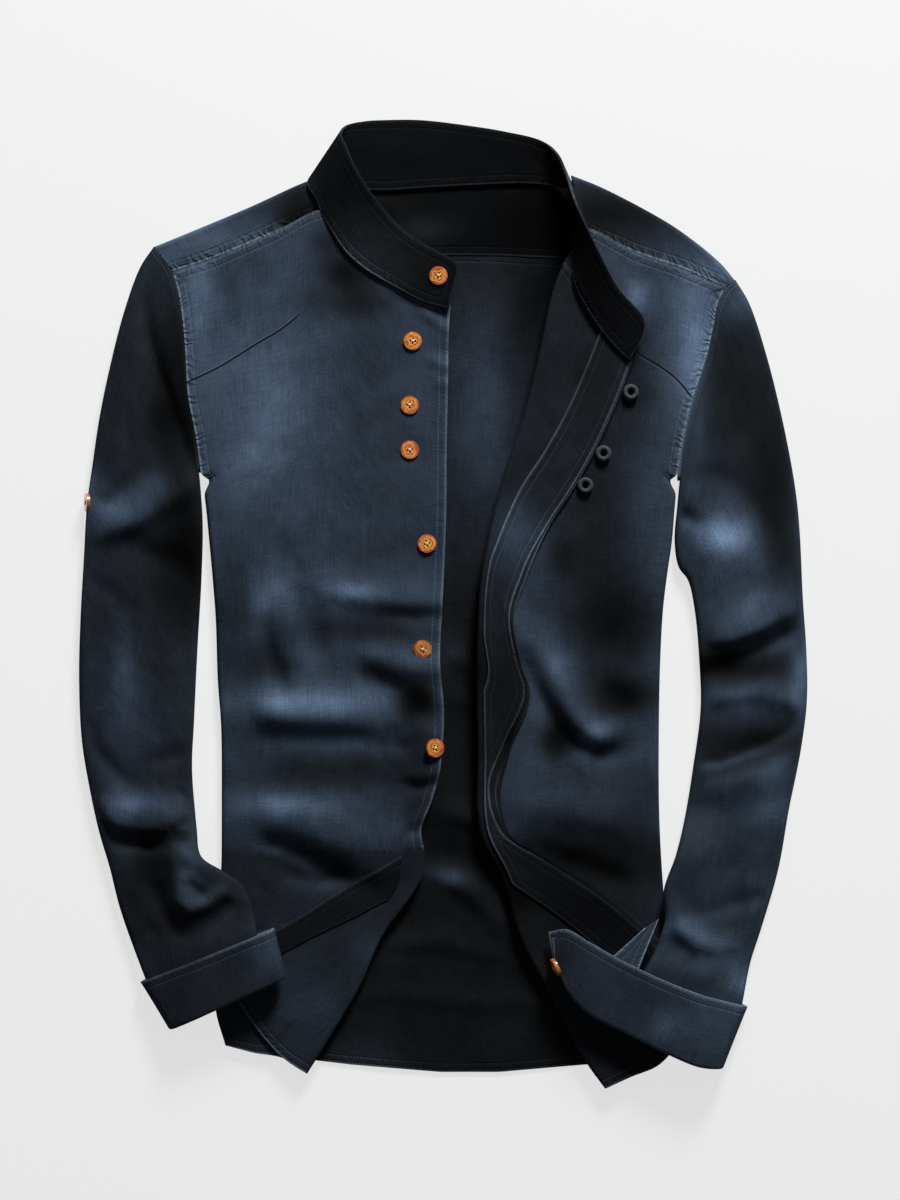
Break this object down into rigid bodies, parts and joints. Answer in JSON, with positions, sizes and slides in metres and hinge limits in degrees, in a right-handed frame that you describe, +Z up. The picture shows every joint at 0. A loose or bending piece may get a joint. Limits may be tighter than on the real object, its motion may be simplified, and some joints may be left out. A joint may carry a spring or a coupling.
{
  "type": "mandarin collar shirt laid flat",
  "caption": "Long-sleeved shirt with a stand collar, laid flat and open, one front turned outwards, cuffs turned back, buttons and corded loops.",
  "frame": {"origin": "middle of the laid shirt on the surface that it lies on", "axes": "+Z up from the surface, +Y from the hem to the neck, +X towards the wearer's left"},
  "size_m": [0.5473, 0.7277, 0.0336],
  "materials": {
    "cloth": "matt washed cotton and linen twill, dark slate navy",
    "doubled_cloth": "the same cloth doubled and stitched along its edges",
    "horn": "polished amber horn with brown and pale streaks"
  },
  "bodies": {
    "root": {"back": "cloth", "yoke": "cloth", "front_right": "cloth", "front_left": "cloth", "sleeve_right": "cloth", "sleeve_right_under": "cloth", "sleeve_left": "cloth", "sleeve_left_under": "cloth", "collar": "doubled_cloth", "cuff_right": "doubled_cloth", "cuff_left": "doubled_cloth", "sleeve_placket_left": "doubled_cloth", "placket_left": "doubled_cloth", "placket_right": "doubled_cloth", "button_loop_cord_1": "doubled_cloth", "button_loop_cord_2": "doubled_cloth", "button_loop_cord_3": "doubled_cloth", "button_collar": "horn", "button_loop_1": "horn", "button_loop_2": "horn", "button_loop_3": "horn", "button_placket_1": "horn", "button_placket_2": "horn", "button_placket_3": "horn", "button_sleeve_tab": "horn", "button_cuff": "horn"}
  },
  "joints": []
}
